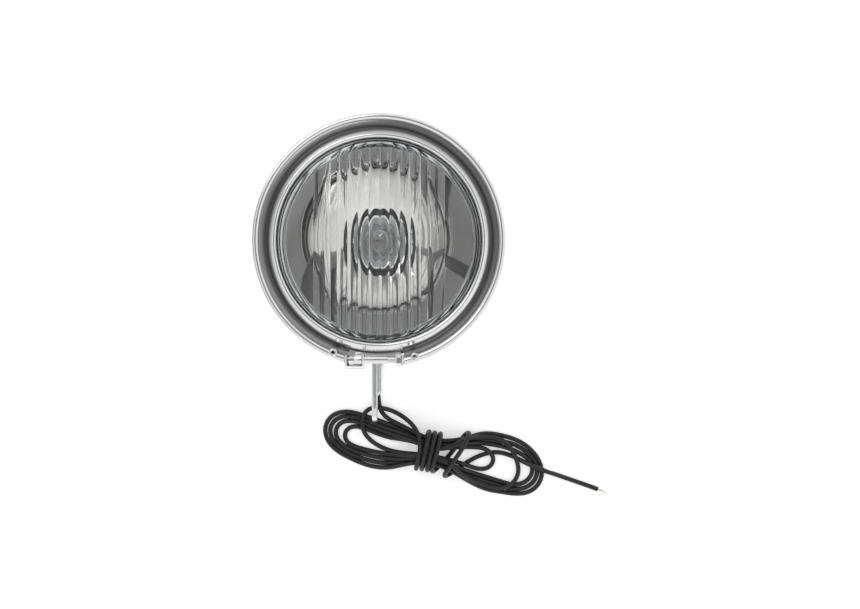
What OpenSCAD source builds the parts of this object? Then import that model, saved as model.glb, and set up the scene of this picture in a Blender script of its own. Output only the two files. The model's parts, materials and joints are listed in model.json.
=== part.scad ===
// Round fog light with a clamped rim, a fluted lens, a single-lead halogen bulb and a one-bolt mounting strap.
// Frame: the origin is the centre of the bowl's flat back, +Z runs out through the lens along the optical
// axis, -Y points to the mounting strap, and the lamp lies on its flat back with its lead coiled beside it.

/* [Rim] */
// Outer diameter of the rim
rim_d = 127; // [126:0.5:128]
// Height of the rim's front bead above the bowl's flat back
rim_top = 88; // [87.5:0.1:88.5]
// Thickness of the rim's sheet
rim_t = 0.9; // [0.8:0.05:1]
// Length of the skirt that sleeves the bowl's mouth
skirt_len = 22; // [18:0.5:26]
// Left edge of the notch that clears the clamp screw
notch_left = -17.2; // [-17.5:0.1:-16.5]
// Right edge of the notch
notch_right = 12.7; // [12:0.1:13.5]

/* [Bowl] */
// Radius of the bowl at its mouth
mouth_r = 59; // [58.5:0.1:59.2]
// Radius of the flat back
back_r = 20; // [19:0.5:21]
// Thickness of the bowl's sheet
bowl_t = 1; // [0.8:0.1:1]
// Height of the bowl's lip
lip_top = 75.2; // [75:0.1:75.3]

/* [Lens and reflector] */
// Radius of the lens
lens_r = 52.3; // [52:0.1:52.3]
// Rise of the lens's front dome
lens_dome = 3; // [2:0.25:4]
// Pitch of the lens's flutes
flute_pitch = 5.3; // [5:0.1:5.5]
// Number of flutes
flute_count = 8; // [6:2:8]
// Width of the plain rib on either side of the flutes
side_rib_w = 8.6; // [7.5:0.1:9]
// Focal length of the reflector
focal = 21.5; // [21:0.25:22]
// Radius of the reflector's bulb hole
bulb_hole_r = 15.4; // [15.4:0.1:15.8]

/* [Strap] */
// Distance of the tilt pivot from the optical axis
pivot_y = 57; // [56.5:0.1:57.2]
// Height of the tilt pivot above the flat back
pivot_z = 26; // [25:0.5:27]
// Thickness of the strap's web
strap_t = 2.6; // [2.2:0.1:2.6]
// Distance from the pivot to the fixing hole
strap_len = 28.8; // [26:0.1:29.5]
// Radius of the fixing hole, for an M8 bolt
strap_hole_r = 4.2; // [4.1:0.05:4.5]
// Radius of the strap's outer end
strap_end_r = 8.5; // [8:0.1:9]

/* [Lead] */
// Outer diameter of the insulated lead
wire_d = 2.5; // [2.2:0.1:2.5]
// Height of the coiled hank
hank_h = 10; // [8:0.5:11]

/* [Hidden] */
$fn = 96;

tiny = 0.05;
rim_r = rim_d / 2;

// Rim section: outer bead, sloping wall, channel, shelf and inner bead, as the sheet's middle line
bead_r = 1.3;
bead_at = [rim_r - rim_t / 2 - bead_r, rim_top - rim_t / 2 - bead_r];
channel_r = 1.2;
channel_at = [rim_r - 7.3, rim_top - 7.7];
lens_bead_r = 0.9;
lens_bead_at = [rim_r - 10.8, rim_top - 8.33];
notch_inner_r = rim_r - 6.5;

// Bowl: a half ellipsoid cut flat at the back
bowl_z = lip_top + 0.8;
bowl_k = bowl_z / sqrt(1 - pow(back_r / mouth_r, 2));
lip_r = 62.2;
lip_t = 1;

// Optical stack, from the rim's lens bead down
lens_top = rim_top - 9.2;
lens_edge = 3.4;
lens_bottom = lens_top - lens_edge;
lens_inner_z = lens_bottom + 0.6;
lens_clear_r = 49;
flute_r = 7.4;
flute_rise = flute_r - sqrt(pow(flute_r, 2) - pow(flute_pitch / 2, 2));
side_rib_r = 25;
side_rib_x = 28.7;
gasket_t = 1.2;
seat_z = lens_bottom - gasket_t;
reflector_t = 0.8;
reflector_apex = 44;
reflector_mouth = 50.2;
flange_top = rim_top - 10.7;
flange_r = 61.2;

// Clamp screw, its stirrup and its nut
screw_y = -60;
screw_z = rim_top - 5.6;
screw_r = 2;
screw_fit = 0.06;
head_r = 3.3;
head_h = 4;
stirrup_r = 4.6;
stirrup_t = 0.9;
stirrup_end = -7.2;
lug_t = 1.2;
tab_t = 0.6;
left_tab_x = -23.9;
left_tab_end = -15.5;
right_tab_x = 21.2;
left_rivet = [-22.7, -56.3];
right_rivet = [18.1, -58.4];
rivet_r = 1.5;
rivet_head_r = 2.1;
rivet_bore_r = 0.9;

// Tilt pivot: an M6 bolt through the clevis's two ears, with the strap's web between them
bolt_r = 3;
bolt_fit = 0.06;
hex_r = 5 / cos(30);
web_x = -4.9;
ear_t = 2;
ear_gap = 0.2;
ear_r = 5.8;
left_ear = web_x - ear_gap - ear_t;
right_ear = web_x + strap_t + ear_gap;
washer_t = 1.2;
lock_t = 1.6;
bolt_head_h = 4;
nut_h = 5;
strap_pivot_r = 6.2;
strap_lip_x = -0.1;
strap_lip_t = 2;
clevis_z = [20, 36];
clevis_half_w = 12;
clevis_pad_t = 1.6;
clevis_rivet_x = 9.2;
clevis_rivet_z = [23, 33.5];

// Lead exit, square to the bowl's wall
exit_z = 15;
exit_hole_r = 3.7;
relief_end = 6.6;

// Bulb: flange plane at the reflector's apex, filament at its focus
bulb_flange_r = 10.9;
bulb_plane = reflector_apex;
bulb_cap_z = bulb_plane - 5.5;
bulb_flange_t = 2;
neck_top = bulb_plane + 7.2;
focus_z = reflector_apex + focal;
bulb_glass_r = 5.75;
clip_wire_r = 0.75;
clip_fit = 0.05;
clip_half_w = 8.3;
clip_y = 17.5;
clip_z = bulb_plane - 3.1;
collar_z = bulb_plane - 1.8;
clip_rivet_x = 3;
socket_at = [22, -6];
socket_r = 3.2;
plug_pin_r = 1.9;
plug_fit = 0.08;

// Routes of the leads, from point to point
tail_route = [[0, -43.7, 10.8], [0, -47.6, 7.6], [0, -52, 4.2], [-0.5, -57, 1.9], [-1.3, -63, 1.3],
    [-2.2, -70, 1.3], [-2.6, -77, 1.3], [-2.2, -83.5, 1.3], [-0.8, -89.8, 1.3]];
inner_route = [[0, -43.7, 10.8], [0, -40.3, 13.6], [0, -36.4, 16.9], [1.5, -32.5, 18.4], [5, -28.5, 15.6],
    [9, -24, 10.5], [13, -18.5, 6.2], [17.5, -13, 4.8], [21, -8.5, 5.6], [22, -6, 9], [22, -6, 12]];
bulb_lead_route = [[0, 3, 38.5], [0, 5, 34.5], [1, 10, 30.5], [4, 16, 27.5], [8.5, 20.5, 26],
    [14, 20.5, 25.5], [19, 15.5, 25.8], [21.5, 9, 27.2], [22, 2.5, 28.7], [22, -3, 29]];
end_route = [[87.8, -122.2, 5], [93, -124, 3.4], [98.8, -126.1, 1.8], [104.8, -128.2, 1.3],
    [110.8, -130.3, 1.3], [116.6, -132.4, 1.3]];
strand_route = [[116.6, -132.4, 1.3], [118.9, -133.3, 1.2], [121.3, -134.5, 1]];
strand_r = 0.85;

// Hank: a flat bundle with round ends
hank_r = 15.4;
hank_left = [-15.8, -104.4];
hank_right = [72.6, -120.5];

// A unit vector along v
function unit(v) = v / norm(v);

// Points along an arc about centre c, from angle a to angle b in n steps
function arc(c, r, a, b, n) = [for (k = [0 : n]) c + r * [cos(a + (b - a) * k / n), sin(a + (b - a) * k / n)]];

// The list p in reverse order
function reversed(p) = [for (i = [len(p) - 1 : -1 : 0]) p[i]];

// Direction of the path p at its point i
function heading(p, i) =
    i == 0 ? unit(p[1] - p[0])
    : i == len(p) - 1 ? unit(p[i] - p[i - 1])
    : unit(unit(p[i + 1] - p[i]) + unit(p[i] - p[i - 1]));

// Length by which a mitred corner at point i stretches
function mitre(p, i) = i == 0 || i == len(p) - 1 ? 1 : 1 / (heading(p, i) * unit(p[i + 1] - p[i]));

// The flat path p moved by d to its right
function beside(p, d) = [for (i = [0 : len(p) - 1])
    let (u = heading(p, i)) p[i] + d * mitre(p, i) * [u[1], -u[0]]];

// Radius of the bowl's outer face at height z
function bowl_at(z) = mouth_r * sqrt(1 - pow((bowl_z - z) / bowl_k, 2));

// Slope of the bowl's outward normal below the horizontal at height z
function bowl_slope(z) = atan2((bowl_z - z) / pow(bowl_k, 2), bowl_at(z) / pow(mouth_r, 2));

// Middle line of the rim's sheet, from the skirt's rear edge to the lens bead
rim_skirt = [[rim_r - rim_t / 2, rim_top - skirt_len]];
rim_face = concat(
    arc(bead_at, bead_r, 0, 180, 10),
    arc(channel_at, channel_r, -26, -116, 5),
    arc(lens_bead_at, lens_bead_r, 64, 213, 8));

// Middle line of the clamp tabs' seat: the rim's face without its outermost and innermost curls
tab_face = concat(
    arc(bead_at, bead_r, 36, 180, 8),
    arc(channel_at, channel_r, -26, -116, 5),
    [lens_bead_at + [0.6, 0.71]]);

// Middle line of the reflector, from the bulb hole to the flange that bears on the bowl's lip
reflector_line = concat(
    [for (k = [0 : 14]) let (r = bulb_hole_r + 0.4 + (reflector_mouth - bulb_hole_r - 0.4) * k / 14)
        [r, reflector_apex + r * r / (4 * focal)]],
    [[reflector_mouth + 0.7, seat_z - reflector_t / 2], [53.9, seat_z - reflector_t / 2],
     [54.3, flange_top - reflector_t / 2], [flange_r, flange_top - reflector_t / 2]]);

// A sheet in section: the band between d1 and d2 beside the path p
module band(p, d1, d2) {
    polygon(concat(beside(p, d1), reversed(beside(p, d2))));
}

// A ring turned about Z from inner radius a to outer radius b, between heights z1 and z2
module ring(a, b, z1, z2) {
    rotate_extrude() translate([a, z1]) square([b - a, z2 - z1]);
}

// A bar of radius r along X, from x1 to x2, at height z and depth y
module bar_x(r, x1, x2, y, z) {
    translate([x1, y, z]) rotate([0, 90, 0]) cylinder(r = r, h = x2 - x1);
}

// A round lead of radius r swept along the route p with n sides
module swept(p, r, n = 8) {
    m = len(p);
    function side(i) = let (t = heading(p, i), s = i == 0 ? [0.9, 0.1, 0.42] : side(i - 1)) unit(s - (s * t) * t);
    rings = [for (i = [0 : m - 1]) let (t = heading(p, i), s = side(i), w = cross(t, s))
        for (j = [0 : n - 1]) p[i] + r * (cos(360 * j / n) * s + sin(360 * j / n) * w)];
    skin = [for (i = [0 : m - 2], j = [0 : n - 1]) let (a = i * n + j, b = i * n + (j + 1) % n)
        each [[a, b + n, b], [a, a + n, b + n]]];
    caps = [[for (j = [0 : n - 1]) j], [for (j = [n - 1 : -1 : 0]) (m - 1) * n + j]];
    polyhedron(points = rings, faces = concat(skin, caps), convexity = 6);
}

// The bowl's outer body, grown by g
module bowl_body(g = 0) {
    rotate_extrude() polygon(concat([[0, -g]],
        [for (k = [0 : 20]) let (a0 = asin(back_r / mouth_r), a = a0 + (90 - a0) * k / 20)
            [(mouth_r + g) * sin(a), bowl_z - (bowl_k + g) * cos(a)]],
        [[0, bowl_z]]));
}

// The local frame of the lead's exit: z = 0 on the bowl's outer face, +z outwards
module at_exit() {
    translate([0, -bowl_at(exit_z), exit_z]) rotate([90 + bowl_slope(exit_z), 0, 0]) children();
}

// The four rivet places of the clevis, each square to the bowl's wall
module at_clevis_rivets() {
    for (z = clevis_rivet_z, s = [-1, 1]) {
        turn = asin(s * clevis_rivet_x / bowl_at(z));
        rotate([0, 0, turn]) translate([0, -bowl_at(z), z]) rotate([90 + bowl_slope(z), 0, 0]) children();
    }
}

// Spun steel bowl with a flat back, an outward lip, the lead's hole and the clevis's rivet holes
module housing_bowl() {
    a0 = asin(back_r / mouth_r);
    a1 = acos((bowl_z - lip_top + lip_t) / bowl_k);
    outer = [for (k = [0 : 22]) let (a = a0 + (a1 - a0) * k / 22) [mouth_r * sin(a), bowl_z - bowl_k * cos(a)]];
    b0 = asin(sqrt(1 - pow((bowl_z - bowl_t) / (bowl_k - bowl_t), 2)));
    b1 = acos((bowl_z - lip_top) / (bowl_k - bowl_t));
    inner = [for (k = [0 : 22]) let (a = b0 + (b1 - b0) * k / 22)
        [(mouth_r - bowl_t) * sin(a), bowl_z - (bowl_k - bowl_t) * cos(a)]];
    lip = [[lip_r, lip_top - lip_t], [lip_r, lip_top]];
    color("silver") difference() {
        rotate_extrude() polygon(concat([[0, 0]], outer, lip, reversed(inner), [[0, bowl_t]]));
        at_exit() translate([0, 0, -4]) cylinder(r = exit_hole_r, h = 8);
        at_clevis_rivets() translate([0, 0, -4]) cylinder(r = 1.5, h = 8);
    }
}

// Curved plate inside the bowl that spreads the clevis's load
module backing_plate() {
    color("dimgray") difference() {
        intersection() {
            bowl_body(-bowl_t - tiny);
            translate([-clevis_half_w, -60, clevis_z[0] + 0.6])
                cube([2 * clevis_half_w, 30, clevis_z[1] - clevis_z[0] - 0.6]);
        }
        bowl_body(-bowl_t - tiny - 1.2);
        at_clevis_rivets() translate([0, 0, -6]) cylinder(r = 1.5, h = 12);
    }
}

// Outline of one clevis ear in the YZ plane
module ear_outline() {
    translate([-pivot_y, pivot_z]) circle(r = ear_r);
    polygon([[-36, clevis_z[0]], [-48, clevis_z[0]], [-pivot_y, pivot_z - ear_r], [-pivot_y, pivot_z + ear_r],
        [-51, clevis_z[1] - 0.5], [-36, clevis_z[1] - 0.5]]);
}

// A flat outline in the YZ plane, extruded along X from x to x + t
module plate_x(x, t) {
    translate([x, 0, 0]) rotate([90, 0, 90]) linear_extrude(height = t) children();
}

// Two-eared clevis riveted to the bowl
module strap_clevis() {
    color("lightgray") difference() {
        union() {
            intersection() {
                bowl_body(clevis_pad_t);
                translate([-clevis_half_w, -70, clevis_z[0]])
                    cube([2 * clevis_half_w, 40, clevis_z[1] - clevis_z[0]]);
            }
            for (x = [left_ear, right_ear]) plate_x(x, ear_t) ear_outline();
        }
        bowl_body(tiny);
        bar_x(bolt_r + 0.2, -20, 20, -pivot_y, pivot_z);
        at_clevis_rivets() translate([0, 0, -6]) cylinder(r = 1.5, h = 12);
    }
}

// Round-headed rivets through the clevis, the bowl and the backing plate
module clevis_rivets() {
    color("gainsboro") at_clevis_rivets() rotate_extrude() difference() {
        union() {
            translate([0, -bowl_t - 2.4]) square([1.45, clevis_pad_t + bowl_t + 2.8]);
            translate([0, clevis_pad_t - 0.5]) intersection() {
                circle(r = 2.6);
                translate([0, 0.75]) square(3);
            }
            translate([0, -bowl_t - 2.3]) square([2.4, 0.8]);
        }
        translate([-5, -10]) square([5, 20]);
    }
}

// M6 hexagon bolt that the strap tilts on
module pivot_bolt() {
    head_x = left_ear - washer_t;
    color("whitesmoke") {
        bar_x(bolt_r, head_x, right_ear + ear_t + washer_t + lock_t + nut_h + 1.6, -pivot_y, pivot_z);
        translate([head_x - bolt_head_h, -pivot_y, pivot_z]) rotate([0, 90, 0])
            cylinder(r = hex_r, h = bolt_head_h, $fn = 6);
    }
}

// Hexagon nut on the pivot bolt
module pivot_nut() {
    x = right_ear + ear_t + washer_t + lock_t;
    color("gainsboro") difference() {
        translate([x, -pivot_y, pivot_z]) rotate([0, 90, 0]) cylinder(r = hex_r, h = nut_h, $fn = 6);
        bar_x(bolt_r + tiny, x - 1, x + nut_h + 1, -pivot_y, pivot_z);
    }
}

// Split spring washer under the nut
module pivot_lock_washer() {
    x = right_ear + ear_t + washer_t;
    color("darkgray") difference() {
        bar_x(5.2, x, x + lock_t, -pivot_y, pivot_z);
        bar_x(bolt_r + 0.2, x - 1, x + lock_t + 1, -pivot_y, pivot_z);
        translate([x - 1, -pivot_y - 0.5, pivot_z]) cube([lock_t + 2, 1, 8]);
    }
}

// Flat washers, one outside each ear
module pivot_washers() {
    color("gainsboro") for (x = [left_ear - washer_t, right_ear + ear_t]) difference() {
        bar_x(5.8, x, x + washer_t, -pivot_y, pivot_z);
        bar_x(bolt_r + 0.2, x - 1, x + washer_t + 1, -pivot_y, pivot_z);
    }
}

// Flat strap on edge, tapering from the pivot to the fixing hole, with a stiffening lip on its rear edge
module mounting_strap() {
    taper = asin((strap_end_r - strap_pivot_r) / strap_len);
    eye_y = -pivot_y - strap_len;
    up = [-sin(taper), cos(taper)];
    down = [-sin(taper), -cos(taper)];
    color("lightsteelblue") difference() {
        union() {
            plate_x(web_x, strap_t) {
                translate([-pivot_y, pivot_z]) circle(r = strap_pivot_r);
                translate([eye_y, pivot_z]) circle(r = strap_end_r);
                polygon([[-pivot_y, pivot_z] - strap_pivot_r * [up[0], -up[1]],
                    [eye_y, pivot_z] - strap_end_r * [up[0], -up[1]],
                    [eye_y, pivot_z] - strap_end_r * [down[0], -down[1]],
                    [-pivot_y, pivot_z] - strap_pivot_r * [down[0], -down[1]]]);
            }
            translate([web_x, -pivot_y, pivot_z]) rotate([taper, 0, 0])
                translate([0, -strap_len + 2.5, -strap_pivot_r])
                cube([strap_lip_x - web_x, strap_len - 10, strap_lip_t]);
        }
        bar_x(bolt_r + bolt_fit, -20, 20, -pivot_y, pivot_z);
        bar_x(strap_hole_r, -20, 20, eye_y, pivot_z);
    }
}

// Rubber ring between the bowl's lip and the reflector's flange
module housing_gasket() {
    color("black") ring(mouth_r - bowl_t + 0.2, lip_r - 2.1, lip_top, lip_top + 1);
}

// Rubber grommet with a short strain relief, in the bowl's lead hole
module wire_grommet() {
    bore = wire_d / 2 + tiny;
    color("black") at_exit() rotate_extrude() polygon([[bore, -2.6], [4.8, -2.6], [4.8, -1.45],
        [exit_hole_r - 0.1, -1.45], [exit_hole_r - 0.1, 0.1], [5, 0.1], [4.6, 1.5], [2.9, 1.9],
        [2.1, relief_end], [bore, relief_end]]);
}

// Stretch of the lead inside the bowl, from the grommet to the socket
module inner_lead() {
    color("black") swept(inner_route, wire_d / 2);
}

// Insulated bullet socket on the inner lead, open towards the lens
module lead_socket() {
    color("darkred") translate([socket_at[0], socket_at[1], 0]) rotate_extrude()
        polygon([[0, 12], [2.2, 12], [socket_r, 13.5], [socket_r, 25.5], [plug_pin_r + plug_fit, 25.5],
            [plug_pin_r + plug_fit, 13.8], [0, 13.8]]);
}

// Chromed clamping rim, notched at the bottom for its screw
module rim() {
    color("silver") difference() {
        rotate_extrude() band(concat(rim_skirt, rim_face), -rim_t / 2, rim_t / 2);
        intersection() {
            translate([notch_left, -80, 0]) cube([notch_right - notch_left, 80, 120]);
            ring(notch_inner_r, 90, 0, 120);
        }
        for (p = [left_rivet, right_rivet]) translate([p[0], p[1], rim_top - 5])
            cylinder(r = rivet_r + tiny, h = 10);
    }
}

// Sheet strip that lies on the rim's face between x1 and x2, with an ear round its rivet
module tab_strip(x1, x2, rivet) {
    difference() {
        intersection() {
            rotate_extrude() band(tab_face, rim_t / 2 + 0.02, rim_t / 2 + tab_t);
            translate([0, 0, 60]) linear_extrude(height = 40) {
                translate([x1, -66]) square([x2 - x1, 16]);
                translate(rivet) circle(r = 2.8);
            }
        }
        translate([rivet[0], rivet[1], rim_top - 5]) cylinder(r = rivet_r + tiny, h = 10);
    }
}

// Left tab, folded into a stirrup that cradles the screw's head
module clamp_tab_left() {
    lug_inner_y = -57.3;
    trough_x = notch_left + tiny;
    color("silver") {
        tab_strip(left_tab_x, left_tab_end, left_rivet);
        difference() {
            union() {
                for (x = [trough_x, stirrup_end - lug_t]) plate_x(x, lug_t) {
                    translate([screw_y, screw_z]) circle(r = stirrup_r);
                    translate([screw_y, screw_z]) square([lug_inner_y - screw_y, rim_top - screw_z]);
                }
                difference() {
                    bar_x(stirrup_r, trough_x + 0.2, stirrup_end - 0.2, screw_y, screw_z);
                    bar_x(stirrup_r - stirrup_t, -30, 0, screw_y, screw_z);
                    translate([-30, screw_y, screw_z - 20]) cube([40, 20, 40]);
                    translate([-30, screw_y - 20, screw_z + 1.5]) cube([40, 40, 20]);
                }
            }
            cylinder(r = -lug_inner_y, h = 120);
            bar_x(screw_r + screw_fit, -10, 0, screw_y, screw_z);
            bar_x(2.6, -20, -12, screw_y, screw_z);
        }
    }
}

// Right tab, folded into the lug that the nut bears on
module clamp_tab_right() {
    color("silver") {
        tab_strip(notch_right - lug_t, right_tab_x, right_rivet);
        difference() {
            plate_x(notch_right - lug_t - tiny, lug_t) {
                translate([screw_y, screw_z]) circle(r = 3.6);
                translate([screw_y - 3.4, screw_z]) square([6.2, rim_top - screw_z - 1]);
            }
            cylinder(r = -screw_y - 2.7, h = 120);
            bar_x(screw_r + screw_fit, 0, 20, screw_y, screw_z);
        }
    }
}

// Tubular rivets that hold the tabs to the rim's bead
module tab_rivets() {
    head_z = rim_top + tab_t;
    color("white") for (p = [left_rivet, right_rivet]) translate([p[0], p[1], 0]) {
        ring(rivet_bore_r, rivet_r, rim_top - 4, head_z + tiny);
        ring(rivet_bore_r, rivet_head_r, head_z, head_z + 0.6);
    }
}

// Cap-head clamp screw with a hexagon socket
module clamp_screw() {
    head_x = stirrup_end - lug_t - head_h;
    color("white") difference() {
        union() {
            bar_x(head_r, head_x, head_x + head_h, screw_y, screw_z);
            bar_x(screw_r, head_x + head_h - 1, notch_right - tiny, screw_y, screw_z);
        }
        translate([head_x - 1, screw_y, screw_z]) rotate([0, 90, 0]) cylinder(r = 1.75, h = 3.2, $fn = 6);
    }
}

// Square nut inside the right lug
module clamp_nut() {
    x = notch_right - lug_t - 0.1 - 3.2;
    color("gainsboro") difference() {
        translate([x, screw_y - 3.4, screw_z - 3.4]) cube([3.2, 6.2, 6.8]);
        bar_x(screw_r + screw_fit, x - 1, x + 5, screw_y, screw_z);
    }
}

// What is cut from the lens's inner face to leave one wide convex rib centred on x
module side_rib_cut(x) {
    difference() {
        translate([x - side_rib_w / 2, -60, lens_inner_z - 1]) cube([side_rib_w, 120, 1.5]);
        translate([x, 61, lens_inner_z + side_rib_r]) rotate([90, 0, 0]) cylinder(r = side_rib_r, h = 122);
    }
}

// Glass lens with a gentle dome in front, and upright flutes and two wide ribs behind
module lens() {
    dome_r = (pow(lens_r, 2) + pow(lens_dome, 2)) / (2 * lens_dome);
    dome = [for (k = [0 : 12]) let (r = lens_r * (1 - k / 12))
        [r, lens_top + sqrt(pow(dome_r, 2) - pow(r, 2)) - dome_r + lens_dome]];
    color([0.85, 0.88, 0.9, 0.5]) difference() {
        rotate_extrude() polygon(concat([[0, lens_inner_z], [lens_clear_r, lens_inner_z],
            [lens_clear_r + 0.6, lens_bottom], [lens_r, lens_bottom]], dome));
        intersection() {
            union() {
                for (k = [0 : flute_count - 1])
                    translate([(k + 0.5 - flute_count / 2) * flute_pitch, 60, lens_inner_z + flute_rise - flute_r])
                    rotate([90, 0, 0]) cylinder(r = flute_r, h = 120);
                for (s = [-1, 1]) side_rib_cut(s * side_rib_x);
            }
            ring(0, lens_clear_r - 0.5, lens_inner_z - 2, lens_inner_z + 3);
        }
    }
}

// Rubber ring under the lens's edge
module lens_gasket() {
    color("dimgray") ring(lens_r - 1, lens_r + 0.9, seat_z, lens_bottom);
}

// Aluminised parabolic reflector whose flange carries the lens and bears on the bowl's lip
module reflector() {
    color("whitesmoke") rotate_extrude() band(reflector_line, -reflector_t / 2, reflector_t / 2);
}

// Spring clips round the flange's edge, behind the rim's bead
module optic_clips() {
    color("gray") for (a = [45 : 90 : 315]) rotate([0, 0, a]) intersection() {
        rotate_extrude() polygon([[60.4, 75.65], [62.3, 75.65], [62.3, 83], [61.6, 83], [61.6, 78.1], [58.8, 78.1],
            [58.8, flange_top + tiny], [61.5, flange_top + tiny], [61.5, 76.4], [60.4, 76.4]]);
        translate([50, -4, 70]) cube([20, 8, 20]);
    }
}

// Dark collar behind the reflector that seats the bulb's flange
module bulb_holder() {
    color("dimgray") difference() {
        translate([0, 0, bulb_plane]) rotate_extrude() polygon([[11.2, -1.8], [20, -1.8], [20, -0.3],
            [16.4, -0.3], [16.4, 1.9], [15.2, 1.9], [15.2, 6], [13.5, 6], [13.5, 1.5], [9.2, 1.5],
            [9.2, tiny], [11.2, tiny]]);
        for (s = [-1, 1], y = [clip_y, -clip_y]) translate([clip_rivet_x * s, y, collar_z - 2])
            cylinder(r = 0.9, h = 10);
    }
}

// Small rivets that hold the clip's bracket and catch to the collar
module holder_rivets() {
    color("gainsboro") for (s = [-1, 1], y = [clip_y, -clip_y])
        translate([clip_rivet_x * s, y, collar_z]) {
            cylinder(r = 0.85, h = 2);
            translate([0, 0, 1.55]) cylinder(r = 1.2, h = 0.6);
        }
}

// Bracket that the bulb clip hinges in
module clip_bracket() {
    color("gainsboro") difference() {
        translate([-4, clip_y - 1.8, clip_z - 1.8]) cube([8, 3.6, 1.8 + collar_z - clip_z]);
        bar_x(clip_wire_r + clip_fit, -10, 10, clip_y, clip_z);
    }
}

// Two prongs that the clip's free end snaps between
module clip_catch() {
    color("gainsboro") for (y = [-clip_y - 1.7, -clip_y + 1]) translate([-5, y, clip_z - 0.7])
        cube([10, 0.7, 0.7 + collar_z - clip_z]);
}

// Wire bail that presses the bulb's flange into its seat
module bulb_clip() {
    color("lightgray") {
        for (y = [-clip_y, clip_y]) bar_x(clip_wire_r, -clip_half_w, clip_half_w, y, clip_z);
        for (s = [-1, 1]) translate([s * clip_half_w, clip_y, clip_z]) {
            rotate([90, 0, 0]) cylinder(r = clip_wire_r, h = 2 * clip_y);
            sphere(r = clip_wire_r);
            translate([0, -2 * clip_y, 0]) sphere(r = clip_wire_r);
        }
    }
}

// Bulb's metal base: flange, rear cap and neck
module bulb_base() {
    flange_back = bulb_plane - bulb_flange_t;
    color("lightgray") rotate_extrude() polygon([[0, bulb_cap_z], [6.4, bulb_cap_z], [7, bulb_cap_z + 0.7],
        [7, flange_back], [bulb_flange_r, flange_back], [bulb_flange_r, bulb_plane], [6.2, bulb_plane],
        [5.4, neck_top], [0, neck_top]]);
}

// Bulb's glass capsule
module bulb_glass() {
    wall = 0.8;
    dome_z = focus_z + 6.5 - bulb_glass_r;
    color([0.95, 0.95, 0.9, 0.5]) rotate_extrude() polygon(concat(
        [[bulb_glass_r - wall, neck_top + tiny], [bulb_glass_r - 0.4, neck_top + tiny]],
        arc([0, dome_z], bulb_glass_r, 0, 90, 8),
        arc([0, dome_z], bulb_glass_r - wall, 90, 0, 8)));
}

// Cross filament at the reflector's focus, on its two support wires
module bulb_filament() {
    color("goldenrod") {
        bar_x(0.7, -2.8, 2.8, 0, focus_z);
        for (s = [-1, 1]) translate([s * 2.8, 0, neck_top + tiny]) cylinder(r = 0.35, h = focus_z - neck_top);
    }
}

// Short lead from the bulb's cap to its plug
module bulb_lead() {
    color("black") swept(bulb_lead_route, 1);
}

// Bullet plug on the bulb's lead, with its flag-shaped sleeve
module bulb_plug() {
    color("peru") translate([socket_at[0], socket_at[1], 0]) {
        translate([0, 0, 15]) cylinder(r = plug_pin_r, h = 12);
        translate([0, 0, 26]) cylinder(r = 3, h = 6);
    }
}

// Free stretch of the lead, from the grommet to the hank
module wire_tail() {
    color("black") swept(tail_route, wire_d / 2);
}

// Outer shape of the coiled hank
module wire_hank() {
    run = hank_right - hank_left;
    turn = atan2(run[1], run[0]);
    color("black") linear_extrude(height = hank_h)
        polygon(concat(arc(hank_right, hank_r, turn - 90, turn + 90, 24),
            arc(hank_left, hank_r, turn + 90, turn + 270, 24)));
}

// Free end of the lead beyond the hank
module wire_end() {
    color("black") swept(end_route, wire_d / 2);
}

// Bare copper strands at the lead's tip
module wire_strands() {
    color("peru") swept(strand_route, strand_r);
}

housing_bowl();
backing_plate();
strap_clevis();
clevis_rivets();
pivot_bolt();
pivot_nut();
pivot_lock_washer();
pivot_washers();
mounting_strap();
housing_gasket();
wire_grommet();
inner_lead();
lead_socket();
rim();
clamp_tab_left();
clamp_tab_right();
tab_rivets();
clamp_screw();
clamp_nut();
lens();
lens_gasket();
reflector();
optic_clips();
bulb_holder();
holder_rivets();
clip_bracket();
clip_catch();
bulb_clip();
bulb_base();
bulb_glass();
bulb_filament();
bulb_lead();
bulb_plug();
wire_tail();
wire_hank();
wire_end();
wire_strands();
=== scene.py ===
"""Looks of the round fog light on its CAD frame: finishes, fine meshes, the coiled lead, light and camera."""
import json
import math
import random

import bmesh
import bpy
import numpy
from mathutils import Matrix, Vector


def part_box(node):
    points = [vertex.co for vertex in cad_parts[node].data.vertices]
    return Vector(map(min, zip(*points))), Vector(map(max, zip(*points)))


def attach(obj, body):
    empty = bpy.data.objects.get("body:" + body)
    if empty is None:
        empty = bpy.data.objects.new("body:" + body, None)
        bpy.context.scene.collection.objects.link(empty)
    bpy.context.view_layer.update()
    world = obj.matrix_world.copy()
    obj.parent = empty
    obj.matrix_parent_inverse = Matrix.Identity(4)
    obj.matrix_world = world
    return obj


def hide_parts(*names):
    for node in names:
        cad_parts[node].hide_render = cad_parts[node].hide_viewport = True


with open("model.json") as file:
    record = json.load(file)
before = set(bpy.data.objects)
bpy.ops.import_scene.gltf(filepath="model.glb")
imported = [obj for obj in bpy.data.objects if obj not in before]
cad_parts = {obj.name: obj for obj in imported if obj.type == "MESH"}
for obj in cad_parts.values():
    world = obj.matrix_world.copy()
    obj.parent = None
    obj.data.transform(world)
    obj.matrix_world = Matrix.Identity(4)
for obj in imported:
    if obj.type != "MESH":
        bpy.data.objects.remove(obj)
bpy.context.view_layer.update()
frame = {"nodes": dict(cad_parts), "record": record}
NODES = frame["nodes"]
MM = 0.001

# ---- sizes read from the frame, in millimetres
def box_mm(node):
    low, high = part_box(node)
    return low / MM, high / MM


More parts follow.
